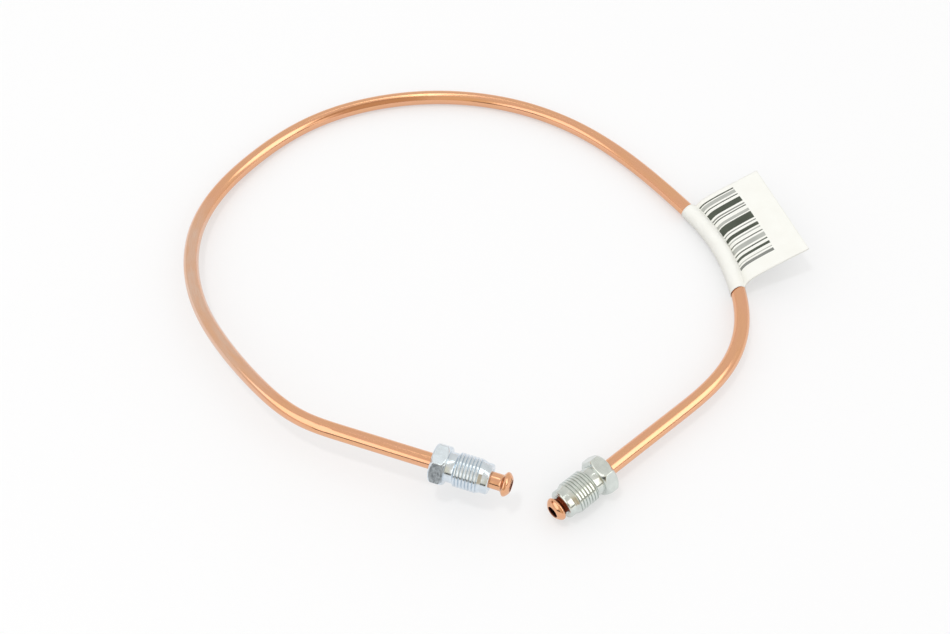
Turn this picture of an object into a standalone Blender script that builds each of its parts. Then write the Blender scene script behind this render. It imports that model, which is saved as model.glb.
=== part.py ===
# Brake line in the pose in which it comes to rest on a flat floor, with Z up and the floor at zero.
# One formed copper-alloy tube runs in an open loop and has a bubble flare at each end.
# A male tube nut rides on each straight end, and a paper label is folded round the tube as a flag.
# All values below are in millimetres and degrees. They become metres when a mesh is made.
import math

import bpy
from mathutils import Vector

MM = 0.001

# Tube: 4.75 mm outside diameter with a 0.89 mm wall
TUBE_RADIUS = 2.375
TUBE_WALL = 0.89
BORE_RADIUS = TUBE_RADIUS - TUBE_WALL
TUBE_SIDES = 20

# Where the left flare mouth is, and the bearing of the tube as it leaves that mouth
MOUTH_X = 3.931
MOUTH_Y = -76.692
FIRST_BEARING = 160.8

# Straight ends that the nuts ride on, and the hand-formed stretch between them.
# Each row is the distance from the start of the formed stretch and the bend radius there.
# None is straight. Between two rows the curvature changes evenly. Every bend turns to the right.
LEFT_STRAIGHT = 50.0
RIGHT_STRAIGHT = 49.0
BENDS = (
    (0, None),
    (14, 37),
    (32, 146.5),
    (50, 156.5),
    (68, 69.5),
    (84, 66),
    (102, 48.5),
    (120, 63),
    (138, 116.5),
    (160, 62.5),
    (182, 82),
    (206, 91),
    (232, 82.5),
    (258, 83),
    (282, 128),
    (306, 480),
    (324, 53.5),
    (342, 87),
    (358, 42),
    (374, 40.5),
    (388, 66),
    (402, None),
)
FORMED_LENGTH = BENDS[-1][0]
TUBE_LENGTH = LEFT_STRAIGHT + FORMED_LENGTH + RIGHT_STRAIGHT

# Male tube nut for an M10 x 1 port, 11 mm across the flats
NUT_SIDES = 48
ACROSS_FLATS = 11.0
HEX_LENGTH = 4.5
CHAMFER_CIRCLE = 5.25
CHAMFER_SLOPE = 0.95
NUT_LENGTH = 17.1
SHANK_RADIUS = 4.35
NECK_FILLET = 0.30
THREAD_RADIUS = 4.95
THREAD_RUN_IN = 0.55
THREAD_FROM = 7.3
THREAD_TO = 13.6
PILOT_FROM = 15.0
PILOT_RADIUS = 4.40
EDGE_BREAK = 0.35
NUT_CLEARANCE = 0.10
NUT_BORE = TUBE_RADIUS + NUT_CLEARANCE
COUNTERSINK_RADIUS = 3.20
COUNTERSINK_DEPTH = 0.65
LEFT_NUT_SETBACK = 6.0
RIGHT_NUT_SETBACK = 3.35

# Height of the tube's centre line: the left end stands clear, the back lies on the floor,
# and the right end is held up by its nut. Slopes are distances along the formed stretch.
LEFT_HEIGHT = 12.0
BACK_HEIGHT = TUBE_RADIUS
RIGHT_HEIGHT = ACROSS_FLATS / 2
LEFT_SLOPE_FROM = 0.0
LEFT_SLOPE_TO = 162.0
RIGHT_SLOPE_FROM = 270.0
RIGHT_SLOPE_TO = 400.0
RING_SPACING = 4.0

# Bubble flare: distance back from the mouth, and radius, outside and inside
FLARE_OUTSIDE = (
    (0.0, 2.20),
    (0.35, 2.66),
    (0.80, 3.14),
    (1.20, 3.44),
    (1.60, 3.55),
    (1.95, 3.42),
    (2.35, 2.95),
    (2.65, 2.52),
    (2.95, TUBE_RADIUS),
)
FLARE_INSIDE = (
    (0.0, 1.78),
    (0.60, 1.74),
    (1.10, 2.25),
    (1.55, 2.55),
    (2.00, 2.30),
    (2.60, 1.60),
    (3.10, BORE_RADIUS),
)

# Paper label: folded round the tube and stuck to itself, so that it stands out as a double flag.
# Its start is a distance along the formed stretch.
LABEL_START = 311.8
LABEL_LENGTH = 37.5
LABEL_STATIONS = 13
WRAP_CLEARANCE = 0.145
WRAP_THICKNESS = 0.28
WRAP_INSIDE = TUBE_RADIUS + WRAP_CLEARANCE
WRAP_OUTSIDE = WRAP_INSIDE + WRAP_THICKNESS
WRAP_SIDES = 24
FLAG_REACH = 26.0
FLAG_BEARING = 24.0
FLAG_RISE = 19.0
FLAG_THICKNESS = 0.40
# Distance out from the tube's centre, and how far the flag bows above a straight line there
FLAG_BOW = (
    (3.3, 0.10),
    (3.8, 0.55),
    (4.4, 0.95),
    (5.5, 1.35),
    (7.0, 1.50),
    (10.0, 1.45),
    (13.5, 1.25),
    (17.5, 0.88),
    (22.0, 0.40),
    (FLAG_REACH, 0.0),
)


def clear_scene():
    for old in list(bpy.data.objects):
        bpy.data.objects.remove(old, do_unlink=True)


def material(name, colour, metallic, roughness):
    made = bpy.data.materials.new(name)
    made.use_nodes = True
    shader = made.node_tree.nodes["Principled BSDF"]
    shader.inputs["Base Color"].default_value = (*colour, 1.0)
    shader.inputs["Metallic"].default_value = metallic
    shader.inputs["Roughness"].default_value = roughness
    return made


def make_object(name, points, faces, look):
    mesh = bpy.data.meshes.new(name)
    mesh.from_pydata([tuple(point * MM) for point in points], [], faces)
    mesh.validate()
    mesh.materials.append(look)
    made = bpy.data.objects.new(name, mesh)
    bpy.context.scene.collection.objects.link(made)
    return made


def curvature(along):
    """Signed curvature per millimetre at a distance along the tube from its left mouth."""
    place = along - LEFT_STRAIGHT
    if place <= 0 or place >= FORMED_LENGTH:
        return 0.0
    for (start, first), (end, second) in zip(BENDS, BENDS[1:]):
        if place <= end:
            a = 1.0 / first if first else 0.0
            b = 1.0 / second if second else 0.0
            share = (place - start) / (end - start)
            return -(a + (b - a) * share)
    return 0.0


def eased(value, start, end):
    share = min(max((value - start) / (end - start), 0.0), 1.0)
    return share * share * (3.0 - 2.0 * share)


def height(along):
    place = along - LEFT_STRAIGHT
    if place < LEFT_SLOPE_TO:
        share = eased(place, LEFT_SLOPE_FROM, LEFT_SLOPE_TO)
        return LEFT_HEIGHT + (BACK_HEIGHT - LEFT_HEIGHT) * share
    share = eased(place, RIGHT_SLOPE_FROM, RIGHT_SLOPE_TO)
    return BACK_HEIGHT + (RIGHT_HEIGHT - BACK_HEIGHT) * share


def walk_route(step=0.5):
    """Plan positions and bearings of the centre line, one row for each step."""
    x, y = MOUTH_X, MOUTH_Y
    bearing = math.radians(FIRST_BEARING)
    rows = [(x, y, bearing)]
    for index in range(round(TUBE_LENGTH / step)):
        turn = curvature((index + 0.5) * step) * step
        x += math.cos(bearing + turn / 2) * step
        y += math.sin(bearing + turn / 2) * step
        bearing += turn
        rows.append((x, y, bearing))
    return rows


ROUTE = walk_route()


def frame_at(along):
    """Centre, direction, level side and upward side of the tube at a distance along it."""
    place = min(max(along, 0.0), TUBE_LENGTH) * 2
    index = min(int(place), len(ROUTE) - 2)
    share = place - index
    x0, y0, bearing0 = ROUTE[index]
    x1, y1, bearing1 = ROUTE[index + 1]
    bearing = bearing0 + (bearing1 - bearing0) * share
    centre = Vector((x0 + (x1 - x0) * share, y0 + (y1 - y0) * share, height(along)))
    slope = (height(along + 0.5) - height(along - 0.5)) / 1.0
    direction = Vector((math.cos(bearing), math.sin(bearing), slope)).normalized()
    side = Vector((math.sin(bearing), -math.cos(bearing), 0.0))
    return centre, direction, side, side.cross(direction).normalized()


def ring(along, radius, sides):
    centre, _, side, up = frame_at(along)
    points = []
    for index in range(sides):
        angle = 2 * math.pi * index / sides
        points.append(centre + (side * math.cos(angle) + up * math.sin(angle)) * radius)
    return points


def closed_sweep(rings):
    """Points and faces of a body made from rings joined in order, the last back to the first."""
    sides = len(rings[0])
    points = [point for each in rings for point in each]
    faces = []
    for row in range(len(rings)):
        after = (row + 1) % len(rings)
        for index in range(sides):
            beside = (index + 1) % sides
            faces.append(
                (
                    row * sides + index,
                    row * sides + beside,
                    after * sides + beside,
                    after * sides + index,
                )
            )
    return points, faces


def tube_stations(flare, plain_radius):
    """Distance along the tube and radius for each ring, from the left mouth to the right mouth."""
    rows = list(flare)
    count = round(FORMED_LENGTH / RING_SPACING)
    for index in range(count + 1):
        rows.append((LEFT_STRAIGHT + FORMED_LENGTH * index / count, plain_radius))
    rows += [(TUBE_LENGTH - back, radius) for back, radius in reversed(flare)]
    return rows


def make_tube(look):
    outside = [ring(along, radius, TUBE_SIDES) for along, radius in tube_stations(FLARE_OUTSIDE, TUBE_RADIUS)]
    inside = [ring(along, radius, TUBE_SIDES) for along, radius in tube_stations(FLARE_INSIDE, BORE_RADIUS)]
    points, faces = closed_sweep(outside + inside[::-1])
    return make_object("brake_tube", points, faces, look)


def hex_radius(angle):
    """Distance from the axis to the hexagon's side, with a corner at angle zero."""
    from_flat = (angle % (math.pi / 3)) - math.pi / 6
    return (ACROSS_FLATS / 2) / math.cos(from_flat)


def nut_profile(angle):
    """Distance from the rear face and radius round the nut's section, at one angle."""
    corner = hex_radius(angle)
    cut = max(corner - CHAMFER_CIRCLE, 0.0) * CHAMFER_SLOPE
    return (
        (0.0, NUT_BORE + EDGE_BREAK),
        (0.0, CHAMFER_CIRCLE),
        (cut, corner),
        (HEX_LENGTH - cut, corner),
        (HEX_LENGTH, CHAMFER_CIRCLE),
        (HEX_LENGTH, SHANK_RADIUS + NECK_FILLET),
        (HEX_LENGTH + NECK_FILLET, SHANK_RADIUS),
        (THREAD_FROM - THREAD_RUN_IN, SHANK_RADIUS),
        (THREAD_FROM, THREAD_RADIUS),
        (THREAD_TO, THREAD_RADIUS),
        (PILOT_FROM, PILOT_RADIUS),
        (NUT_LENGTH - EDGE_BREAK, PILOT_RADIUS),
        (NUT_LENGTH, PILOT_RADIUS - EDGE_BREAK),
        (NUT_LENGTH, COUNTERSINK_RADIUS),
        (NUT_LENGTH - COUNTERSINK_DEPTH, NUT_BORE),
        (EDGE_BREAK, NUT_BORE),
    )


def make_nut(name, mouth_along, inward, setback, look):
    """A nut whose nose faces the mouth. Inward is 1 where the tube runs on from that mouth, else -1."""
    centre, direction, side, up = frame_at(mouth_along)
    toward_mouth = direction * -inward
    rear = centre - toward_mouth * (setback + NUT_LENGTH)
    if side.cross(up).dot(toward_mouth) < 0:
        side = -side
    angles = [2 * math.pi * index / NUT_SIDES for index in range(NUT_SIDES)]
    profiles = [nut_profile(angle) for angle in angles]
    rings = []
    for row in range(len(profiles[0])):
        points = []
        for angle, profile in zip(angles, profiles):
            along, radius = profile[row]
            out = side * math.cos(angle) + up * math.sin(angle)
            points.append(rear + toward_mouth * along + out * radius)
        rings.append(points)
    points, faces = closed_sweep(rings)
    return make_object(name, points, faces, look)


def label_section(share, corner_start, corner_end):
    """Inside ring of the wrap, and the outline round wrap and flag, at one station of the label."""
    centre, direction, _, _ = frame_at(LEFT_STRAIGHT + LABEL_START + LABEL_LENGTH * share)
    edge = corner_start + (corner_end - corner_start) * share
    outward = edge - centre
    outward = (outward - direction * outward.dot(direction)).normalized()
    upward = outward.cross(direction).normalized()
    if upward.z < 0:
        upward = -upward
    pitch = 2 * math.pi / WRAP_SIDES
    angles = [pitch * (index + 0.5) for index in range(WRAP_SIDES)]
    inside = [centre + (outward * math.cos(a) + upward * math.sin(a)) * WRAP_INSIDE for a in angles]
    wrap = [centre + (outward * math.cos(a) + upward * math.sin(a)) * WRAP_OUTSIDE for a in angles[1:-1]]
    straight = edge - centre
    top, bottom = [], []
    for distance, bow in FLAG_BOW:
        middle = centre + straight * (distance / FLAG_REACH) + upward * bow
        top.append(middle + upward * (FLAG_THICKNESS / 2))
        bottom.append(middle - upward * (FLAG_THICKNESS / 2))
    return inside, top[::-1] + wrap + bottom


def make_label(look):
    first = frame_at(LEFT_STRAIGHT + LABEL_START)[0]
    last = frame_at(LEFT_STRAIGHT + LABEL_START + LABEL_LENGTH)[0]
    bearing, rise = math.radians(FLAG_BEARING), math.radians(FLAG_RISE)
    level = math.cos(rise) * FLAG_REACH
    reach = Vector((math.cos(bearing) * level, math.sin(bearing) * level, math.sin(rise) * FLAG_REACH))
    sections = [
        label_section(index / (LABEL_STATIONS - 1), first + reach, last + reach)
        for index in range(LABEL_STATIONS)
    ]
    inner, outer = WRAP_SIDES, len(sections[0][1])
    flag = len(FLAG_BOW)
    size = inner + outer
    points = [point for section in sections for part in section for point in part]
    faces = []
    for row in range(LABEL_STATIONS - 1):
        here, there = row * size, (row + 1) * size
        for index in range(inner):
            beside = (index + 1) % inner
            faces.append((here + index, there + index, there + beside, here + beside))
        for index in range(outer):
            beside = (index + 1) % outer
            a, b = inner + index, inner + beside
            faces.append((here + a, here + b, there + b, there + a))
    for row, turned in ((0, False), (LABEL_STATIONS - 1, True)):
        base = row * size
        cap = []
        # The flag, from its outer edge to its root
        for index in range(flag - 1):
            a, b = inner + index, inner + index + 1
            c, d = inner + outer - 2 - index, inner + outer - 1 - index
            cap.append((a, d, c, b))
        # The wrap round the tube
        for index in range(1, inner - 2):
            a, b = inner + flag + index - 1, inner + flag + index
            cap.append((a, index, index + 1, b))
        # Where the wrap closes into the root of the flag
        root_top, root_bottom = inner + flag - 1, inner + outer - flag
        wrap_first, wrap_last = inner + flag, inner + outer - flag - 1
        cap.append((root_top, 0, 1, wrap_first))
        cap.append((root_top, root_bottom, inner - 1, 0))
        cap.append((root_bottom, wrap_last, inner - 2, inner - 1))
        for face in cap:
            face = tuple(base + index for index in face)
            faces.append(face[::-1] if turned else face)
    return make_object("paper_label", points, faces, look)


def face_outwards(made):
    """Turn the faces round where a mesh's signed volume is negative."""
    mesh = made.data
    mesh.calc_loop_triangles()
    volume = 0.0
    for triangle in mesh.loop_triangles:
        a, b, c = (mesh.vertices[index].co for index in triangle.vertices)
        volume += a.dot(b.cross(c))
    if volume < 0:
        mesh.flip_normals()


clear_scene()
copper = material("drawn copper alloy", (0.78, 0.42, 0.24), 1.0, 0.28)
zinc = material("zinc plated steel", (0.72, 0.75, 0.77), 1.0, 0.32)
paper = material("white paper", (0.90, 0.89, 0.85), 0.0, 0.75)

parts = [
    make_tube(copper),
    make_nut("tube_nut_left", 0.0, 1, LEFT_NUT_SETBACK, zinc),
    make_nut("tube_nut_right", TUBE_LENGTH, -1, RIGHT_NUT_SETBACK, zinc),
    make_label(paper),
]
for part in parts:
    face_outwards(part)
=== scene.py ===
# Looks of a formed brake line that lies on a white table: a copper-coloured tube with a bubble flare at
# each end, two zinc-plated tube nuts with real threads, and a paper label folded round the tube.
# Sizes are in millimetres and degrees, as on the part itself, and become metres when a mesh is made.
import math

import bpy
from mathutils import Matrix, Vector, noise


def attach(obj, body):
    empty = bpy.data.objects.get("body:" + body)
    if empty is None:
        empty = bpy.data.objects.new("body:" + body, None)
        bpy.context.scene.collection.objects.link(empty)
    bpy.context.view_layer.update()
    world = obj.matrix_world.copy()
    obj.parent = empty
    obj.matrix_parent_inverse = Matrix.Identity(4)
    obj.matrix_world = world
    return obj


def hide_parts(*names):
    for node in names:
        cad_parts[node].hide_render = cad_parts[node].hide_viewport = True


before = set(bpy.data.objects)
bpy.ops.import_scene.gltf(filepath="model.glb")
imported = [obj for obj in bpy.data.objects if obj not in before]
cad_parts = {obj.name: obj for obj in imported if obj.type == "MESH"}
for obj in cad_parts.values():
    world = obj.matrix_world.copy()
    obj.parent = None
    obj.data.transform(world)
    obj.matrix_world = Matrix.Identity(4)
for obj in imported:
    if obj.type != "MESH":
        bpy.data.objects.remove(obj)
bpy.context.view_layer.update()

MM = 0.001

# Tube
TUBE_RADIUS = 2.375
BORE_RADIUS = 1.485
LEFT_STRAIGHT = 50.0
RIGHT_STRAIGHT = 49.0
TUBE_SIDES = 48
TUBE_RING_SPACING = 1.5
ROUTE_STEP = 0.5
MOUTH_X, MOUTH_Y = 3.931, -76.692
FIRST_BEARING = 160.8

# Hand-formed bends: distance into the formed stretch and bend radius there, every bend to the right
BENDS = (
    (0, None),
    (14, 37),
    (32, 146.5),
    (50, 156.5),
    (68, 69.5),
    (84, 66),
    (102, 48.5),
    (120, 63),
    (138, 116.5),
    (160, 62.5),
    (182, 82),
    (206, 91),
    (232, 82.5),
    (258, 83),
    (282, 128),
    (306, 480),
    (324, 53.5),
    (342, 87),
    (358, 42),
    (374, 40.5),
    (388, 66),
    (402, None),
)
TUBE_LENGTH = LEFT_STRAIGHT + BENDS[-1][0] + RIGHT_STRAIGHT
LEFT_HEIGHT, BACK_HEIGHT, RIGHT_HEIGHT = 12.0, TUBE_RADIUS, 5.5
LEFT_SLOPE = (0.0, 162.0)
RIGHT_SLOPE = (270.0, 400.0)

# Flats and swells that bending by hand leaves in the wall: height, and the distances along between
# which they rise and fade
WAVER_HEIGHT = 0.030
WAVER_RISE = (50, 70)
WAVER_FADE = (440, 455)
# Small dent: distance along, angle round from the outer side, radius and depth
DENT = (56.3, 128.0, 0.9, 0.16)

# Bubble flare: distance back from the mouth, and radius
FLARE_OUTSIDE = (
    (0.0, 2.02),
    (0.10, 2.28),
    (0.42, 2.74),
    (0.82, 3.17),
    (1.20, 3.44),
    (1.58, 3.55),
    (1.95, 3.42),
    (2.35, 2.92),
    (2.65, 2.52),
    (3.00, TUBE_RADIUS),
    (3.60, TUBE_RADIUS),
)
FLARE_INSIDE = (
    (0.0, 1.92),
    (0.14, 1.78),
    (0.60, 1.74),
    (1.10, 2.25),
    (1.55, 2.55),
    (2.00, 2.30),
    (2.60, 1.60),
    (3.10, BORE_RADIUS),
    (3.60, BORE_RADIUS),
)
FLARE_RINGS = 26
# Rows of the bore at each mouth that keep the outside's look; deeper in, the bore has painted shade
RIM_ROWS = 2

# Colours of the tube: two clean tones, the paler stretch that is a painted reflection, the draw marks, the
# bore's painted shade and the neck's painted shade
COPPER = (0.80, 0.44, 0.25)
COPPER_PINK = (0.80, 0.43, 0.27)
COPPER_PALE_REFLECTION = (0.755, 0.54, 0.43)
# Pale tone of the painted reflection on one stretch of the tube
COPPER_MARKS = (0.72, 0.37, 0.20)
# Two dark tones of painted shade for the inside of the bore
BORE_SHADE_TONES = ((0.16, 0.05, 0.04), (0.09, 0.03, 0.025))
# Two dark red tones of painted shade for the neck
NECK_SHADE_TONES = ((0.30, 0.075, 0.035), (0.52, 0.18, 0.085))
# Painted shade on the neck, in distances back from the right mouth
NECK_SHADE_FROM, NECK_SHADE_TO = 2.15, 7.0
# Distances from the left mouth at which the paler stretch, a painted reflection, starts, is full, still is
# and has ended
PALE_REFLECTION_STRETCH = (72.0, 96.0, 150.0, 166.0)

# Male tube nut with an M10 x 1 thread
ACROSS_FLATS = 11.0
CORNER_FILLET = 0.25
HEX_LENGTH = 4.5
CHAMFER_CIRCLE = 5.25
CHAMFER_SLOPE = 0.95
NUT_LENGTH = 17.1
SHANK_RADIUS = 4.35
NUT_BORE = 2.475
PILOT_RADIUS = 4.40
NOSE_RADIUS = 3.20
NOSE_DEPTH = 0.65
NOSE_LAND = 0.4
EDGE_BREAK = 0.35
EDGE_ROUND = 0.12
PITCH = 1.0
CREST_RADIUS = 4.95
ROOT_RADIUS = 4.50
THREAD_START = 6.75
CREST_FROM, CREST_TO = 7.30, 13.6
THREAD_END = 15.0
# Plain lengths that separate the thread from the neck and from the pilot
THREAD_RUN_IN, THREAD_RUN_OUT = 0.25, 0.2
# Distances before the thread's end at which the groove starts to fade and is gone
GROOVE_FADE = (0.6, 0.05)
# Widths of the groove's floor and of its side, as shares of half a pitch
GROOVE_FLOOR, GROOVE_SIDE = 0.06, 0.40
THREAD_ROWS_PER_PITCH = 20
# Angles of the columns next to a hexagon corner, then of those on the flat: first, spacing and number
CORNER_ANGLES = (0.0, 0.7, 1.4, 2.4)
FLAT_ANGLE, FLAT_ANGLE_STEP, FLAT_COLUMNS = 5.0, 2.5, 21
# Rows of a nut's grid that lie on the flats of the hexagon
HEAD_FLAT_ROWS = (12, 17)
LEFT_SETBACK, RIGHT_SETBACK = 6.0, 3.35
# Plating on the left nut has a blue cast, and on the right one a faint green one
LEFT_ZINC = (0.72, 0.795, 0.865)
RIGHT_ZINC = (0.68, 0.725, 0.70)
ZINC_SHADE = 0.86
# Angles between which the left nut's one flat with a painted dark reflection lies, and its two tones
LEFT_DARK_FLAT = (120.0, 180.0)
DARK_FLAT_TONES = ((0.20, 0.225, 0.25), (0.60, 0.66, 0.71))

# Paper label
LABEL_START = 311.8
LABEL_LENGTH = 37.5
FLAG_REACH = 26.0
FLAG_BEARING, FLAG_RISE = 24.0, 19.0
PAPER = 0.12
LAYER_GAP = 0.03
# The wrap round the tube: radius, lift, number of points, where it starts, and the swell at its seam
WRAP_RADIUS, WRAP_LIFT = 2.52, 0.06
WRAP_POINTS, WRAP_START = 45, 12.0
SEAM_SWELL, SEAM_WIDTH = 0.22, 16.0
# Bow of the flag: distance out from the tube's centre and height over a straight line
FLAG_BOW = (
    (2.9, 0.10),
    (3.3, 0.22),
    (3.8, 0.55),
    (4.4, 0.95),
    (5.5, 1.35),
    (7.0, 1.50),
    (10.0, 1.45),
    (13.5, 1.25),
    (17.5, 0.88),
    (22.0, 0.40),
    (26.0, 0.0),
)
# Points across the flag: even spacing down to a distance, and closer ones from there to the wrap
FLAG_SPACING, FLAG_EVEN_TO = 0.4, 5.2
FLAG_CLOSE = (4.9, 4.6, 4.3, 4.05, 3.8, 3.55, 3.15, 3.0)
STATION_SPACING = 0.5
# Distance out at which the wrap starts to turn into the flag, and the width over which it does
FLAG_BLEND = (2.7, 0.6)
# How far the label's far end is cut back on the flag's side, and the distances out over which it grows
END_SLANT = 1.5
SLANT_BLEND = (-2.6, 5.2)
# Unevenness of the paper: how fast it changes across and along, which pattern, and its height
RIPPLE = (0.10, 0.12, 3.7, 0.16)
CRINKLE = (0.35, 0.30, 9.1, 0.05)
WRINKLE = (0.30, 0.16, 5.3, 0.16)
# Surface coordinates of the label's inner face and of its cut ends lie clear of those of the outer face
INNER_FACE_PLACE = 200.0
CUT_END_PLACE = 300.0
PAPER_TONES = ((0.905, 0.905, 0.855), (0.88, 0.875, 0.82))
DARK_INK = ((0.055, 0.066, 0.048), (0.09, 0.105, 0.08))
GREY_INK = ((0.20, 0.21, 0.19), (0.26, 0.27, 0.25))
PALE_INK = ((0.42, 0.43, 0.40), (0.50, 0.51, 0.47))
# Least darkness of a bar in dark ink and of one in grey ink
DARK_FROM, GREY_FROM = 0.7, 0.4
# Distances out between which the bars lie, and the distance along at which their field starts
BARS_FROM, BARS_TO = 3.3, 16.2
BARS_START = 1.6
# Start along the field, width, and how dark the ink is
BARS = (
    (0.0, 0.5, 0.75),
    (0.9, 1.35, 0.35),
    (2.9, 0.4, 1.0),
    (4.3, 2.1, 0.95),
    (7.2, 0.5, 0.45),
    (8.2, 0.4, 0.9),
    (9.9, 1.05, 0.3),
    (11.4, 2.8, 1.0),
    (14.9, 0.4, 0.6),
    (16.2, 1.35, 0.9),
    (18.2, 0.5, 0.4),
    (19.9, 0.4, 1.0),
    (21.1, 1.75, 0.35),
    (23.6, 0.5, 0.85),
    (25.2, 1.05, 0.95),
    (27.4, 0.4, 0.4),
    (28.5, 1.2, 0.6),
)

# Camera, in millimetres and degrees from straight down
CAMERA = (-6.178, -246.839, 340.20)
CAMERA_TILT = 34.7
LENS, SENSOR_WIDTH = 50.0, 36.0
NEAR_CLIP = 0.01

# Lamp high above the table, which gives the shadow with the clear edge
KEY = {"place": (-190, -106, 900), "size": (80, 80), "watts": 1.0, "target": (0, 0, 0)}
# Upright light panel close to the left, which shows in what is shiny
PANEL = {"place": (-200, -217, 215), "size": (366, 280), "watts": 0.26, "target": (0, -217, 215)}

# Light tent: colour of its far and near walls, then panels and openings in it.
# Bearings are in degrees from the far side, clockwise seen from above.
WALL_FAR = (0.86, 0.84, 0.80)
WALL_NEAR = (0.87, 0.81, 0.73)
# Bearing of the middle, half width, lower and upper elevation, width of the soft edge,
# rise of the lower edge for each degree of bearing, and colour
TENT_PARTS = (
    (120, 20, -10, 40, 16, 0.0, (1.20, 1.15, 1.05)),
    (148, 26, 36, 80, 14, 0.0, (0.56, 0.44, 0.31)),
    (160, 18, -10, 60, 12, 0.0, (0.64, 0.51, 0.36)),
    (-168, 14, -10, 60, 14, 0.0, (0.84, 0.76, 0.58)),
    (92, 29, 31, 61, 7, -0.71, (2.2, 2.15, 2.0)),
    (-152, 14, 2, 14, 4, 0.0, (0.04, 0.04, 0.04)),
    (118, 12, 9, 17, 3, 0.0, (0.03, 0.03, 0.03)),
)
# Narrow gap overhead, across the zenith: half width, how far it leans and its colour
GAP_HALF, GAP_LEAN = 0.03, 0.035
GAP_COLOUR = (3.4, 3.4, 3.2)
# Upward and far parts of the direction between which the gap appears
GAP_UPWARD = (0.87, 0.94)
GAP_FAR = (-0.24, -0.14)
# Plain white of the tent as matt surfaces see it, and of the background
MATT_WHITE = (0.97, 0.97, 0.97)
WHITE = (1.0, 1.0, 1.0)

# White table, with the light that it adds where it is seen directly
FLOOR_COLOUR = (0.516, 0.516, 0.518)
FLOOR_LIFT = 0.42
FLOOR_HALF = 9000.0


def ramp(value, start, width):
    """Straight rise from 0 to 1 over a width that begins at a start."""
    return min(max((value - start) / width, 0.0), 1.0)


def eased(value, start, end):
    """Soft rise from 0 to 1 between a start and an end."""
    share = ramp(value, start, end - start)
    return share * share * (3.0 - 2.0 * share)


def curvature(along):
    """Signed curvature per millimetre at a distance along the tube."""
    formed = along - LEFT_STRAIGHT
    for (start, first), (end, second) in zip(BENDS, BENDS[1:]):
        if start <= formed <= end:
            a = 1.0 / first if first else 0.0
            b = 1.0 / second if second else 0.0
            return -(a + (b - a) * (formed - start) / (end - start))
    return 0.0


def height(along):
    """Height of the tube's centre over the table at a distance along it."""
    formed = along - LEFT_STRAIGHT
    if formed < LEFT_SLOPE[1]:
        return LEFT_HEIGHT + (BACK_HEIGHT - LEFT_HEIGHT) * eased(formed, *LEFT_SLOPE)
    return BACK_HEIGHT + (RIGHT_HEIGHT - BACK_HEIGHT) * eased(formed, *RIGHT_SLOPE)


def walk_route():
    """Plan positions and bearings of the centre line, one row for each step."""
    x, y = MOUTH_X, MOUTH_Y
    bearing = math.radians(FIRST_BEARING)
    rows = [(x, y, bearing)]
    for index in range(round(TUBE_LENGTH / ROUTE_STEP)):
        turn = curvature((index + 0.5) * ROUTE_STEP) * ROUTE_STEP
        x += math.cos(bearing + turn / 2) * ROUTE_STEP
        y += math.sin(bearing + turn / 2) * ROUTE_STEP
        bearing += turn
        rows.append((x, y, bearing))
    return rows


ROUTE = walk_route()


def frame_at(along):
    """Centre, direction, level side and upward side of the tube at a distance along it."""
    place = min(max(along, 0.0), TUBE_LENGTH) / ROUTE_STEP
    index = min(int(place), len(ROUTE) - 2)
    share = place - index
    x0, y0, bearing0 = ROUTE[index]
    x1, y1, bearing1 = ROUTE[index + 1]
    bearing = bearing0 + (bearing1 - bearing0) * share
    centre = Vector((x0 + (x1 - x0) * share, y0 + (y1 - y0) * share, height(along)))
    slope = height(along + 0.5) - height(along - 0.5)
    direction = Vector((math.cos(bearing), math.sin(bearing), slope)).normalized()
    side = Vector((math.sin(bearing), -math.cos(bearing), 0.0))
    return centre, direction, side, side.cross(direction).normalized()


def smooth_curve(points, count):
    """Evenly parameterised Catmull-Rom curve through points, ends included."""
    points = [Vector(point) for point in points]
    ends = [points[0] * 2 - points[1]] + points + [points[-1] * 2 - points[-2]]
    rows = []
    for index in range(count + 1):
        place = index / count * (len(points) - 1)
        low = min(int(place), len(points) - 2)
        t = place - low
        a, b, c, d = ends[low : low + 4]
        straight = b * 2 + (c - a) * t
        curved = (a * 2 - b * 5 + c * 4 - d) * t * t
        twisted = (b * 3 - a - c * 3 + d) * t * t * t
        rows.append((straight + curved + twisted) / 2)
    return rows


def build(name, rows, uv_rows, looks, look_of, wrap_rows=False):
    """Mesh object from a grid of points whose columns run round. uv_rows holds one more column."""
    columns = len(rows[0])
    points = [point * MM for row in rows for point in row]
    faces, uvs, slots = [], [], []
    for r in range(len(rows) if wrap_rows else len(rows) - 1):
        here = r * columns
        after = (r + 1) % len(rows) * columns
        for c in range(columns):
            beside = (c + 1) % columns
            faces.append((here + c, here + beside, after + beside, after + c))
            uvs += [uv_rows[r][c], uv_rows[r][c + 1], uv_rows[r + 1][c + 1], uv_rows[r + 1][c]]
            slots.append(look_of(r, c))
    mesh = new_mesh(name, points, faces, uvs, looks, slots)
    turn_outwards(mesh)
    made = bpy.data.objects.new(name, mesh)
    bpy.context.scene.collection.objects.link(made)
    return made


def new_mesh(name, points, faces, uvs, looks, slots):
    """Smooth mesh with one surface coordinate for each face corner and one look for each face."""
    mesh = bpy.data.meshes.new(name)
    mesh.from_pydata(points, [], faces)
    layer = mesh.uv_layers.new(name="surface")
    layer.data.foreach_set("uv", [value for uv in uvs for value in uv])
    for look in looks:
        mesh.materials.append(look)
    mesh.polygons.foreach_set("material_index", slots)
    mesh.shade_smooth()
    mesh.update()
    return mesh


def turn_outwards(mesh):
    """Turn the faces round where a closed mesh's signed volume is negative."""
    mesh.calc_loop_triangles()
    volume = 0.0
    for triangle in mesh.loop_triangles:
        a, b, c = (mesh.vertices[index].co for index in triangle.vertices)
        volume += a.dot(b.cross(c))
    if volume < 0:
        mesh.flip_normals()


def new_material(name, **sockets):
    """New material, its tree and its shader, with constant values on the shader's own sockets."""
    made = bpy.data.materials.new(name)
    made.use_nodes = True
    shader = made.node_tree.nodes["Principled BSDF"]
    for socket, value in sockets.items():
        shader.inputs[socket.replace("_", " ")].default_value = value
    return made, made.node_tree, shader


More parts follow.
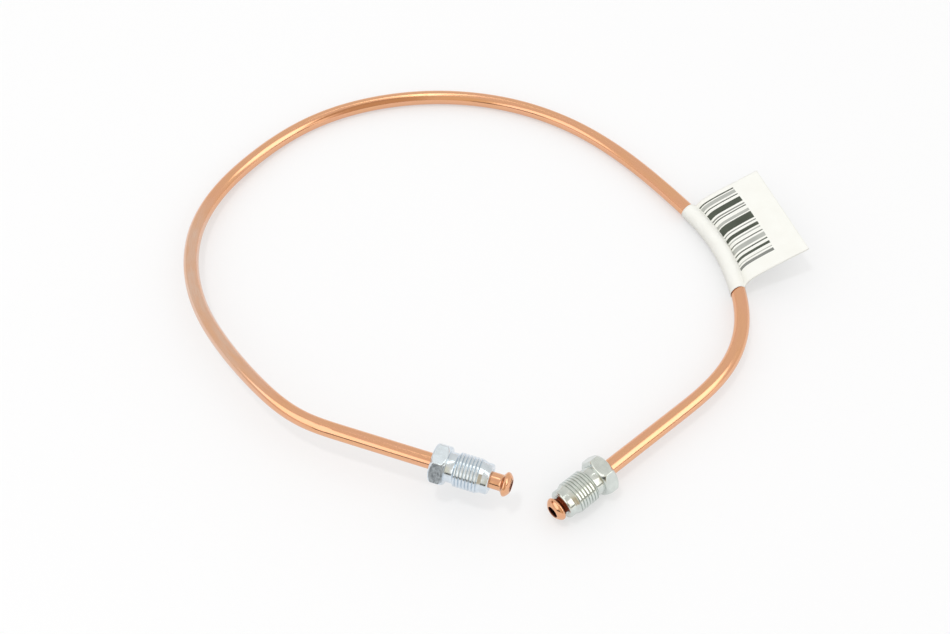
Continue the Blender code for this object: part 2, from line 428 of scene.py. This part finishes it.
def add_node(tree, kind, inputs=None, **settings):
    """New node with its settings, whose inputs are linked to sockets or set to values."""
    node = tree.nodes.new(kind)
    for name, value in settings.items():
        setattr(node, name, value)
    for name, value in (inputs or {}).items():
        if isinstance(value, bpy.types.NodeSocket):
            tree.links.new(value, node.inputs[name])
        else:
            node.inputs[name].default_value = value
    return node


def maths(tree, operation, *values):
    return add_node(tree, "ShaderNodeMath", dict(enumerate(values)), operation=operation).outputs[0]


def ranged(tree, factor, low, high, first, second):
    """A factor's span from low to high, brought to the span from first to second."""
    return add_node(
        tree,
        "ShaderNodeMapRange",
        {"Value": factor, "From Min": low, "From Max": high, "To Min": first, "To Max": second},
    ).outputs[0]


def rising(tree, value, low, high):
    """Soft rise from 0 to 1 between two values."""
    return add_node(
        tree,
        "ShaderNodeMapRange",
        {"Value": value, "From Min": low, "From Max": high},
        interpolation_type="SMOOTHSTEP",
    ).outputs[0]


def blend_colours(tree, factor, first, second, low=0.0, high=1.0):
    """First colour where the factor is at most low, second where it is at least high."""
    mixed = add_node(tree, "ShaderNodeMix", data_type="RGBA")
    tree.links.new(ranged(tree, factor, low, high, 0.0, 1.0), mixed.inputs["Factor"])
    for socket, value in (("A", first), ("B", second)):
        target = [s for s in mixed.inputs if s.name == socket and s.type == "RGBA"][0]
        if isinstance(value, bpy.types.NodeSocket):
            tree.links.new(value, target)
        else:
            target.default_value = (*value, 1.0)
    return [s for s in mixed.outputs if s.type == "RGBA"][0]


def surface_place(tree):
    """The surface coordinates, which are in millimetres across and along."""
    return add_node(tree, "ShaderNodeUVMap", uv_map="surface").outputs[0]


def surface_noise(tree, stretch, detail=3.0, roughness=0.55):
    """Noise over the surface coordinates, stretched as given."""
    scaled = add_node(tree, "ShaderNodeMapping", {"Vector": surface_place(tree), "Scale": stretch})
    return add_node(
        tree,
        "ShaderNodeTexNoise",
        {"Vector": scaled.outputs[0], "Scale": 1.0, "Detail": detail, "Roughness": roughness},
    ).outputs[0]


def bump(tree, shader, pattern, distance, strength):
    inputs = {"Height": pattern, "Distance": distance, "Strength": strength}
    node = add_node(tree, "ShaderNodeBump", inputs)
    tree.links.new(node.outputs[0], shader.inputs["Normal"])


def copper_look():
    """Drawn tube: fine lengthwise die marks, cloudy tarnish, small smears and one paler stretch, which is a
    painted reflection.
    """
    look, tree, shader = new_material("drawn copper alloy", Metallic=1.0)
    marks = surface_noise(tree, (9.0, 0.16, 1.0), 4.0, 0.6)
    clouds = surface_noise(tree, (0.35, 0.07, 1.0))
    smears = surface_noise(tree, (1.2, 0.5, 1.0), 5.0, 0.65)
    clean = blend_colours(tree, clouds, COPPER, COPPER_PINK, 0.35, 0.65)
    along = add_node(tree, "ShaderNodeSeparateXYZ", {0: surface_place(tree)}).outputs["Y"]
    # The paler stretch is a painted reflection
    first, full, still, last = PALE_REFLECTION_STRETCH
    starts = ranged(tree, along, first, full, 0.0, 1.0)
    ends = ranged(tree, along, still, last, 1.0, 0.0)
    patches = ranged(tree, clouds, 0.30, 0.62, 0.35, 1.0)
    share = maths(tree, "MULTIPLY", maths(tree, "MULTIPLY", starts, ends), patches)
    toned = blend_colours(tree, share, clean, COPPER_PALE_REFLECTION)
    streaked = blend_colours(tree, marks, toned, COPPER_MARKS, 0.50, 0.85)
    tree.links.new(streaked, shader.inputs["Base Color"])
    tree.links.new(ranged(tree, smears, 0.3, 0.75, 0.10, 0.20), shader.inputs["Roughness"])
    bump(tree, shader, marks, 0.00001, 0.35)
    return look


def bore_shade_look():
    """Inside of the tube, dull, with shade painted into its colour where the bore lies in shadow."""
    look, tree, shader = new_material("bore with painted shade", Metallic=0.9, Roughness=0.5)
    clouds = surface_noise(tree, (0.6, 0.3, 1.0))
    tree.links.new(blend_colours(tree, clouds, *BORE_SHADE_TONES, 0.35, 0.7), shader.inputs["Base Color"])
    bump(tree, shader, clouds, 0.00002, 0.3)
    return look


def neck_shade_look():
    """Dark red painted shade on the tube's neck between the right flare and its nut, where it lies in
    shadow.
    """
    look, tree, shader = new_material("neck with painted shade", Metallic=1.0, Roughness=0.38)
    marks = surface_noise(tree, (3.0, 3.0, 1.0), 4.0, 0.6)
    tree.links.new(blend_colours(tree, marks, *NECK_SHADE_TONES, 0.38, 0.68), shader.inputs["Base Color"])
    bump(tree, shader, marks, 0.00002, 0.3)
    return look


def zinc_look(name, tint, flats):
    """Zinc plating: over lengthwise marks of drawn bar on the flats, over turning marks elsewhere."""
    look, tree, shader = new_material(name, Metallic=1.0)
    marks = surface_noise(tree, (6.0, 0.35, 1.0) if flats else (0.25, 9.0, 1.0), 4.0, 0.6)
    clouds = surface_noise(tree, (0.5, 0.5, 1.0))
    shade = tuple(value * ZINC_SHADE for value in tint)
    tree.links.new(blend_colours(tree, clouds, tint, shade, 0.35, 0.75), shader.inputs["Base Color"])
    tree.links.new(ranged(tree, marks, 0.3, 0.7, 0.10, 0.20), shader.inputs["Roughness"])
    bump(tree, shader, marks, 0.00001, 0.25)
    return look


def dark_flat_look():
    """The one flat whose plating has a painted dark reflection, dull and grey, with marks across it."""
    look, tree, shader = new_material("flat with painted dark reflection", Metallic=1.0)
    marks = surface_noise(tree, (1.1, 2.6, 1.0), 5.0, 0.7)
    tree.links.new(blend_colours(tree, marks, *DARK_FLAT_TONES, 0.38, 0.70), shader.inputs["Base Color"])
    tree.links.new(ranged(tree, marks, 0.3, 0.7, 0.42, 0.28), shader.inputs["Roughness"])
    bump(tree, shader, marks, 0.00003, 0.4)
    return look


def paper_look(name, tones, strength):
    """Matt label paper or the ink on it, cloudy in two tones, with fibres."""
    look, tree, shader = new_material(name, Roughness=0.62, Specular_IOR_Level=0.35)
    clouds = surface_noise(tree, (0.16, 0.16, 1.0), 4.0)
    fibres = surface_noise(tree, (3.0, 5.0, 1.0), 5.0, 0.7)
    tree.links.new(blend_colours(tree, clouds, *tones, 0.35, 0.7), shader.inputs["Base Color"])
    bump(tree, shader, fibres, 0.00003, strength)
    return look


def tube_rings():
    """Distance along and radius of each ring from mouth to mouth, for the outside and for the bore."""
    flare_length = FLARE_OUTSIDE[-1][0]
    plain_length = TUBE_LENGTH - 2 * flare_length
    count = round(plain_length / TUBE_RING_SPACING)
    plain = [flare_length + plain_length * index / count for index in range(1, count)]
    both = []
    for section, plain_radius in ((FLARE_OUTSIDE, TUBE_RADIUS), (FLARE_INSIDE, BORE_RADIUS)):
        flare = [tuple(point) for point in smooth_curve(section, FLARE_RINGS)]
        far_flare = [(TUBE_LENGTH - back, radius) for back, radius in reversed(flare)]
        both.append(flare + [(along, plain_radius) for along in plain] + far_flare)
    return both


def tube_waver(along, angle):
    """How far the tube's wall stands out at a place, from hand bending and from one small dent."""
    bent = eased(along, *WAVER_RISE) * (1 - eased(along, *WAVER_FADE))
    place = Vector((math.cos(angle) * 0.9, math.sin(angle) * 0.9, along * 0.055))
    dent_along, dent_angle, dent_radius, dent_depth = DENT
    away = math.hypot(along - dent_along, (angle - math.radians(dent_angle)) * TUBE_RADIUS)
    dent = dent_depth * math.exp(-((away / dent_radius) ** 2))
    return noise.noise(place) * WAVER_HEIGHT * bent - dent


def make_tube(looks):
    """The tube. Looks are those of its outside, of its bore with painted shade and of the neck with painted
    shade.
    """
    out_rows, in_rows = tube_rings()
    column_width = 2 * math.pi * TUBE_RADIUS / TUBE_SIDES
    rows, uv_rows = [], []
    for side_rows, outer in ((out_rows, True), (in_rows[::-1], False)):
        for along, radius in side_rows:
            centre, _, side, up = frame_at(along)
            ring = []
            for column in range(TUBE_SIDES):
                angle = 2 * math.pi * column / TUBE_SIDES
                swell = tube_waver(along, angle) if outer else 0.0
                ring.append(centre + (side * math.cos(angle) + up * math.sin(angle)) * (radius + swell))
            rows.append(ring)
            uv_rows.append([(column * column_width, along) for column in range(TUBE_SIDES + 1)])
    uv_rows.append(uv_rows[0])

    def look_of(row, _column):
        inside = row - len(out_rows)
        if inside < 0:
            # The neck behind the right flare takes the look with painted shade
            return 2 if NECK_SHADE_FROM < TUBE_LENGTH - out_rows[row][0] < NECK_SHADE_TO else 0
        # Rows deeper in the bore take the look with painted shade
        return 1 if RIM_ROWS <= inside < len(in_rows) - 1 - RIM_ROWS else 0

    return build("copper_tube", rows, uv_rows, looks, look_of, wrap_rows=True)


def hex_radius(angle):
    """Distance from the axis to the hexagon's side, with a rounded corner at angle zero."""
    from_flat = (angle % (math.pi / 3)) - math.pi / 6
    flat = (ACROSS_FLATS / 2) / math.cos(from_flat)
    from_corner = math.pi / 6 - abs(from_flat)
    corner = ACROSS_FLATS / 2 / math.cos(math.pi / 6)
    middle = corner - CORNER_FILLET / math.sin(math.pi / 3)
    reach = middle * math.sin(from_corner)
    if reach >= CORNER_FILLET / 2:
        return flat
    return middle * math.cos(from_corner) + math.sqrt(CORNER_FILLET**2 - reach**2)


def thread_radius(place, angle):
    """Radius of the right-hand thread at a place along the axis, before the end tapers cut it."""
    turn = (place / PITCH - angle / (2 * math.pi)) % 1.0
    from_groove = abs(turn - 0.5) * 2
    share = ramp(from_groove, GROOVE_FLOOR, GROOVE_SIDE)
    share = 0.5 * share + 0.5 * share * share * (3 - 2 * share)
    return ROOT_RADIUS + (CREST_RADIUS - ROOT_RADIUS) * share


def thread_envelope(place):
    """Radius of the blank that the thread is cut in, with a taper at each end."""
    if place < CREST_FROM:
        share = (place - THREAD_START) / (CREST_FROM - THREAD_START)
        return SHANK_RADIUS + (CREST_RADIUS - SHANK_RADIUS) * share
    if place > CREST_TO:
        share = (place - CREST_TO) / (THREAD_END - CREST_TO)
        return CREST_RADIUS + (PILOT_RADIUS - CREST_RADIUS) * share
    return CREST_RADIUS


def rounded(points, radius, steps=3):
    """The same line with each inner corner turned into a short curve."""
    rows = [points[0]]
    for before, corner, after in zip(points, points[1:], points[2:]):
        corner = Vector(corner)
        back, on = Vector(before) - corner, Vector(after) - corner
        start = corner + back.normalized() * min(radius, back.length * 0.45)
        end = corner + on.normalized() * min(radius, on.length * 0.45)
        for step in range(steps + 1):
            t = step / steps
            rows.append(tuple(start * (1 - t) ** 2 + corner * 2 * t * (1 - t) + end * t * t))
    rows.append(points[-1])
    return rows


def nut_profile(angle):
    """Distance from the rear face and radius of each row of the nut's section at one angle."""
    corner = hex_radius(angle)
    cut = max(corner - CHAMFER_CIRCLE, 0.0) * CHAMFER_SLOPE
    head = rounded(
        [
            (EDGE_BREAK, NUT_BORE),
            (0.0, NUT_BORE + EDGE_BREAK),
            (0.0, CHAMFER_CIRCLE),
            (cut, corner),
            (HEX_LENGTH - cut, corner),
            (HEX_LENGTH, CHAMFER_CIRCLE),
            (HEX_LENGTH, SHANK_RADIUS),
            (THREAD_START - THREAD_RUN_IN, SHANK_RADIUS),
        ],
        EDGE_ROUND,
    )
    thread_length = THREAD_END - THREAD_START
    fade_from, fade_to = GROOVE_FADE
    count = round(thread_length / PITCH * THREAD_ROWS_PER_PITCH)
    thread = []
    for index in range(count + 1):
        place = THREAD_START + thread_length * index / count
        fade = eased(place, THREAD_END - fade_from, THREAD_END - fade_to)
        envelope = thread_envelope(place)
        cut_in = min(thread_radius(place, angle), envelope)
        thread.append((place, cut_in + (envelope - cut_in) * fade))
    nose = rounded(
        [
            (THREAD_END + THREAD_RUN_OUT, PILOT_RADIUS),
            (NUT_LENGTH - EDGE_BREAK, PILOT_RADIUS),
            (NUT_LENGTH, PILOT_RADIUS - EDGE_BREAK),
            (NUT_LENGTH, NOSE_RADIUS),
            (NUT_LENGTH - NOSE_DEPTH, NUT_BORE),
            (NUT_LENGTH - NOSE_DEPTH - NOSE_LAND, NUT_BORE),
        ],
        EDGE_ROUND,
    )
    return head + thread + nose


def nut_columns():
    """Angles of the nut's columns, closer together at the hexagon's corners."""
    plain = tuple(FLAT_ANGLE + FLAT_ANGLE_STEP * index for index in range(FLAT_COLUMNS))
    sector = CORNER_ANGLES + plain + tuple(60.0 - value for value in reversed(CORNER_ANGLES[1:]))
    return [math.radians(60 * turn + value) for turn in range(6) for value in sector]


def make_nut(name, mouth_along, inward, setback, looks, dark_flat_angles):
    """A nut whose nose faces the mouth. Inward is 1 where the tube runs on from that mouth, else -1.
    Looks are those of the flats, of what is turned and of the flat with a painted dark reflection, which
    lies between two angles."""
    centre, direction, side, up = frame_at(mouth_along)
    toward_mouth = direction * -inward
    rear = centre - toward_mouth * (setback + NUT_LENGTH)
    if side.cross(up).dot(toward_mouth) < 0:
        side = -side
    angles = nut_columns()
    profiles = [nut_profile(angle) for angle in angles]
    rows, uv_rows, travelled = [], [], 0.0
    for row in range(len(profiles[0])):
        ring = []
        for angle, profile in zip(angles, profiles):
            along, radius = profile[row]
            out = side * math.cos(angle) + up * math.sin(angle)
            ring.append(rear + toward_mouth * along + out * radius)
        if rows:
            travelled += (ring[0] - rows[-1][0]).length
        rows.append(ring)
        uv_rows.append([(angle * SHANK_RADIUS, travelled) for angle in angles + [2 * math.pi]])
    uv_rows.append([(across, travelled + 1.0) for across, _ in uv_rows[0]])
    first, last = HEAD_FLAT_ROWS

    def look_of(row, column):
        if not first <= row < last:
            return 1
        degrees = math.degrees(angles[column]) + 0.1
        # That flat takes the look with the painted dark reflection
        return 2 if dark_flat_angles and dark_flat_angles[0] <= degrees < dark_flat_angles[1] else 0

    made = build(name, rows, uv_rows, looks, look_of, wrap_rows=True)
    weighted = made.modifiers.new("weighted normals", "WEIGHTED_NORMAL")
    weighted.weight = 50
    return made


def flag_height(distance):
    """How far the flag bows above a straight line at a distance out from the tube's centre."""
    slopes = [(b[1] - a[1]) / (b[0] - a[0]) for a, b in zip(FLAG_BOW, FLAG_BOW[1:])]
    tangents = [slopes[0]] + [(a + b) / 2 for a, b in zip(slopes, slopes[1:])] + [slopes[-1]]
    for index, (near, low) in enumerate(FLAG_BOW[:-1]):
        far, high = FLAG_BOW[index + 1]
        if distance <= far:
            width = far - near
            t = max((distance - near) / width, 0.0)
            start = low * (1 + 2 * t) * (1 - t) ** 2 + high * t * t * (3 - 2 * t)
            lean = tangents[index] * t * (1 - t) ** 2 + tangents[index + 1] * t * t * (t - 1)
            return start + width * lean
    return FLAG_BOW[-1][1]


def label_outline():
    """Middle line of the paper in the label's section: top layer inwards, round the tube, bottom layer out.
    Each row holds the distance out from the tube's centre and the height."""
    offset = (PAPER + LAYER_GAP) / 2
    count = int((FLAG_REACH - FLAG_EVEN_TO) / FLAG_SPACING) + 1
    distances = {FLAG_REACH - FLAG_SPACING * index for index in range(count)}
    distances = sorted(distances | {BARS_TO, BARS_FROM} | set(FLAG_CLOSE), reverse=True)
    top = [(out, flag_height(out) + offset) for out in distances]
    bottom = [(out, flag_height(out) - offset) for out in reversed(distances)]
    wrap = []
    for index in range(WRAP_POINTS):
        degrees = WRAP_START + (360.0 - 2 * WRAP_START) * index / (WRAP_POINTS - 1)
        angle = math.radians(degrees)
        swell = SEAM_SWELL * math.exp(-((min(degrees, 360 - degrees) / SEAM_WIDTH) ** 2))
        radius = WRAP_RADIUS + swell
        wrap.append((math.cos(angle) * radius, math.sin(angle) * radius + WRAP_LIFT))
    return top + wrap + bottom


def label_stations():
    """Distances along the label: an even spacing, with every bar edge among them."""
    edges = {0.0, LABEL_LENGTH}
    for start, width, _ in BARS:
        edges.add(BARS_START + start)
        edges.add(BARS_START + start + width)
    fixed = sorted(edges)
    stations = []
    for low, high in zip(fixed, fixed[1:]):
        count = max(1, round((high - low) / STATION_SPACING))
        stations += [low + (high - low) * index / count for index in range(count)]
    return stations + [LABEL_LENGTH]


def label_frame(along, corner_start, corner_end):
    """Tube's centre, step toward the flag's edge for each millimetre out, outward side and upward side."""
    share = along / LABEL_LENGTH
    centre, direction, _, _ = frame_at(LEFT_STRAIGHT + LABEL_START + along)
    edge = corner_start + (corner_end - corner_start) * share
    straight = edge - centre
    outward = (straight - direction * straight.dot(direction)).normalized()
    upward = outward.cross(direction).normalized()
    if upward.z < 0:
        upward = -upward
    return centre, straight / FLAG_REACH, outward, upward


def bar_at(along):
    """Darkness of the bar at a distance along the label, or 0 between bars."""
    for start, width, darkness in BARS:
        if BARS_START + start <= along < BARS_START + start + width:
            return darkness
    return 0.0


def unevenness(run, along, across_rate, along_rate, pattern, depth):
    """Height of one kind of unevenness at a place on the paper."""
    return noise.noise(Vector((run * across_rate, along * along_rate, pattern))) * depth


def paper_middle(outline, travelled, stations):
    """Points of the paper's middle surface, one line across the paper for each station."""
    first = frame_at(LEFT_STRAIGHT + LABEL_START)[0]
    last = frame_at(LEFT_STRAIGHT + LABEL_START + LABEL_LENGTH)[0]
    bearing, rise = math.radians(FLAG_BEARING), math.radians(FLAG_RISE)
    level = math.cos(rise) * FLAG_REACH
    reach = Vector((math.cos(bearing) * level, math.sin(bearing) * level, math.sin(rise) * FLAG_REACH))
    lengthwise = (last - first).normalized()
    middle = []
    for along in stations:
        centre, straight, outward, upward = label_frame(along, first + reach, last + reach)
        slant = END_SLANT * (along / LABEL_LENGTH) ** 3
        line = []
        for (out, high), run in zip(outline, travelled):
            flag = ramp(out, *FLAG_BLEND)
            point = centre + (outward * (1 - flag) + straight * flag) * out + upward * high
            ripple = unevenness(run, along, *RIPPLE) + unevenness(run, along, *CRINKLE)
            wrinkle = abs(unevenness(run, along, *WRINKLE))
            point += upward * ripple * flag
            point += (outward * out + upward * high).normalized() * wrinkle * (1 - flag)
            point -= lengthwise * slant * ramp(out, *SLANT_BLEND)
            line.append(point)
        middle.append(line)
    return middle


def make_label(looks):
    """The label. Looks are those of the paper and of the dark, grey and pale ink."""
    outline = label_outline()
    stations = label_stations()
    travelled = [0.0]
    for a, b in zip(outline, outline[1:]):
        travelled.append(travelled[-1] + math.hypot(b[0] - a[0], b[1] - a[1]))
    middle = paper_middle(outline, travelled, stations)
    # The paper's two faces lie half its thickness to either side of the middle surface
    rows, uv_rows = [], []
    for station, line in enumerate(middle):
        before = middle[max(station - 1, 0)]
        after = middle[min(station + 1, len(middle) - 1)]
        outer, inner = [], []
        for column, point in enumerate(line):
            ahead = line[min(column + 1, len(line) - 1)] - line[max(column - 1, 0)]
            along_tube = after[column] - before[column]
            normal = ahead.cross(along_tube).normalized() * (PAPER / 2)
            outer.append(point + normal)
            inner.append(point - normal)
        rows.append(outer + inner[::-1])
        across = travelled + [run + INNER_FACE_PLACE for run in reversed(travelled)]
        across.append(INNER_FACE_PLACE - 1.0)
        uv_rows.append([(run, stations[station]) for run in across])
    uv_rows.append(uv_rows[-1])
    columns = len(outline)

    def look_of(row, column):
        if column >= columns // 2:
            return 0
        out, following = outline[column][0], outline[column + 1][0]
        darkness = bar_at((stations[row] + stations[row + 1]) / 2)
        if darkness == 0.0 or out > BARS_TO + 1e-6 or following < BARS_FROM - 1e-6:
            return 0
        return 1 if darkness > DARK_FROM else 2 if darkness > GREY_FROM else 3

    made = build("flag_label", rows, uv_rows, looks, look_of)
    cap_ends(made, len(rows), 2 * columns)
    return made


def cap_ends(made, row_count, column_count):
    """Close the label's two cut ends with one strip of faces each."""
    old = made.data
    points = [vertex.co.copy() for vertex in old.vertices]
    faces = [tuple(face.vertices) for face in old.polygons]
    slots = [face.material_index for face in old.polygons]
    uvs = [tuple(item.uv) for item in old.uv_layers["surface"].data]
    flipped = faces[0][0] != 0 or faces[0][1] != 1
    for row, turned in ((0, False), (row_count - 1, True)):
        first = row * column_count
        last = first + column_count - 1
        for index in range(column_count // 2 - 1):
            quad = (first + index, last - index, last - index - 1, first + index + 1)
            faces.append(quad[::-1] if turned != flipped else quad)
            slots.append(0)
            left = index * 0.3
            right = left + 0.3
            low, high = CUT_END_PLACE, CUT_END_PLACE + 0.1
            uvs += [(left, low), (left, high), (right, high), (right, low)]
    made.data = new_mesh("flag_label", points, faces, uvs, list(old.materials), slots)
    bpy.data.meshes.remove(old)


def make_floor():
    """White table top with a faint gloss, lifted a little for the camera so that it reads as white."""
    size = FLOOR_HALF * MM
    mesh = bpy.data.meshes.new("table_top")
    corners = [(-size, -size, 0), (size, -size, 0), (size, size, 0), (-size, size, 0)]
    mesh.from_pydata(corners, [], [(0, 1, 2, 3)])
    floor = bpy.data.objects.new("table_top", mesh)
    bpy.context.scene.collection.objects.link(floor)
    look, tree, shader = new_material(
        "white table",
        Base_Color=(*FLOOR_COLOUR, 1.0),
        Roughness=0.4,
        Specular_IOR_Level=0.15,
        Emission_Color=(*WHITE, 1.0),
    )
    lift = maths(tree, "MULTIPLY", seen_directly(tree), FLOOR_LIFT)
    tree.links.new(lift, shader.inputs["Emission Strength"])
    mesh.materials.append(look)


def seen_directly(tree):
    """1 for camera, glossy and transmission rays, else 0."""
    path = add_node(tree, "ShaderNodeLightPath").outputs
    seen = maths(tree, "MAXIMUM", path["Is Camera Ray"], path["Is Glossy Ray"])
    return maths(tree, "MAXIMUM", seen, path["Is Transmission Ray"])


def make_lamp(name, place, size, watts, target):
    """Flat lamp that faces its target and that the camera doesn't see."""
    data = bpy.data.lights.new(name, "AREA")
    data.shape = "RECTANGLE"
    data.size, data.size_y = size[0] * MM, size[1] * MM
    data.energy = watts
    lamp = bpy.data.objects.new(name, data)
    bpy.context.scene.collection.objects.link(lamp)
    lamp.location = Vector(place) * MM
    direction = Vector(target) * MM - lamp.location
    lamp.rotation_euler = direction.to_track_quat("-Z", "Y").to_euler()
    lamp.visible_camera = False
    return lamp


def make_tent():
    """Pale light tent all round: panels, darker openings in front, two dark seams and a gap overhead."""
    world = bpy.data.worlds.new("light tent")
    bpy.context.scene.world = world
    world.use_nodes = True
    tree = world.node_tree
    toward = add_node(tree, "ShaderNodeTexCoord").outputs["Generated"]
    parts = add_node(tree, "ShaderNodeSeparateXYZ", {0: toward}).outputs
    bearing = maths(tree, "DEGREES", maths(tree, "ARCTAN2", parts["X"], parts["Y"]))
    elevation = maths(tree, "DEGREES", maths(tree, "ARCSINE", parts["Z"]))
    colour = blend_colours(tree, parts["Y"], WALL_NEAR, WALL_FAR, -0.5, 0.5)
    for middle, half, low, high, soft, lean, glow in TENT_PARTS:
        turned = maths(tree, "WRAP", maths(tree, "SUBTRACT", bearing, float(middle)), 180.0, -180.0)
        beside = maths(tree, "ABSOLUTE", turned)
        across = maths(tree, "SUBTRACT", 1.0, rising(tree, beside, half - soft / 2, half + soft / 2))
        over_edge = maths(tree, "SUBTRACT", elevation, maths(tree, "MULTIPLY", turned, lean))
        above = rising(tree, over_edge, low - soft / 2, low + soft / 2)
        below = maths(tree, "SUBTRACT", 1.0, rising(tree, elevation, high - soft / 2, high + soft / 2))
        share = maths(tree, "MULTIPLY", maths(tree, "MULTIPLY", across, above), below)
        colour = blend_colours(tree, share, colour, glow)
    leaning = maths(tree, "ADD", parts["X"], maths(tree, "MULTIPLY", parts["Y"], GAP_LEAN))
    aside = maths(tree, "ABSOLUTE", leaning)
    within = maths(tree, "SUBTRACT", 1.0, rising(tree, aside, GAP_HALF * 0.6, GAP_HALF * 1.4))
    share = maths(tree, "MULTIPLY", within, rising(tree, parts["Z"], *GAP_UPWARD))
    share = maths(tree, "MULTIPLY", share, rising(tree, parts["Y"], *GAP_FAR))
    colour = blend_colours(tree, share, colour, GAP_COLOUR)
    path = add_node(tree, "ShaderNodeLightPath").outputs
    colour = blend_colours(tree, path["Is Diffuse Ray"], colour, MATT_WHITE)
    colour = blend_colours(tree, path["Is Camera Ray"], colour, WHITE)
    tree.links.new(colour, tree.nodes["Background"].inputs["Color"])


def make_camera():
    data = bpy.data.cameras.new("camera")
    data.lens = LENS
    data.sensor_width = SENSOR_WIDTH
    data.clip_start = NEAR_CLIP
    camera = bpy.data.objects.new("camera", data)
    bpy.context.scene.collection.objects.link(camera)
    camera.location = Vector(CAMERA) * MM
    camera.rotation_euler = (math.radians(CAMERA_TILT), 0.0, 0.0)
    bpy.context.scene.camera = camera


def dress():
    """Put the tube, the nuts and the label in place of the plain solids."""
    tube = make_tube([copper_look(), bore_shade_look(), neck_shade_look()])
    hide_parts("brake_tube")
    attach(tube, "tube")
    nuts = (
        ("left", 0.0, 1, LEFT_SETBACK, LEFT_ZINC, LEFT_DARK_FLAT),
        ("right", TUBE_LENGTH, -1, RIGHT_SETBACK, RIGHT_ZINC, None),
    )
    for hand, mouth, inward, setback, tint, dark_flat_angles in nuts:
        looks = [zinc_look(hand + " nut flats", tint, True), zinc_look(hand + " nut turned", tint, False)]
        # The left nut's flat with a painted dark reflection
        if dark_flat_angles:
            looks.append(dark_flat_look())
        nut = make_nut(hand + "_nut_body", mouth, inward, setback, looks, dark_flat_angles)
        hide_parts("tube_nut_" + hand)
        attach(nut, hand + "_nut")
    inks = (("dark bar ink", DARK_INK), ("grey bar ink", GREY_INK), ("pale bar ink", PALE_INK))
    paper = paper_look("label paper", PAPER_TONES, 0.4)
    label = make_label([paper] + [paper_look(name, tones, 0.2) for name, tones in inks])
    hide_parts("paper_label")
    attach(label, "tube")


make_tent()
make_floor()
make_lamp("key lamp", **KEY).visible_glossy = False
make_lamp("left panel", **PANEL).visible_diffuse = False
make_camera()
dress()
bpy.context.scene.view_settings.view_transform = "Standard"
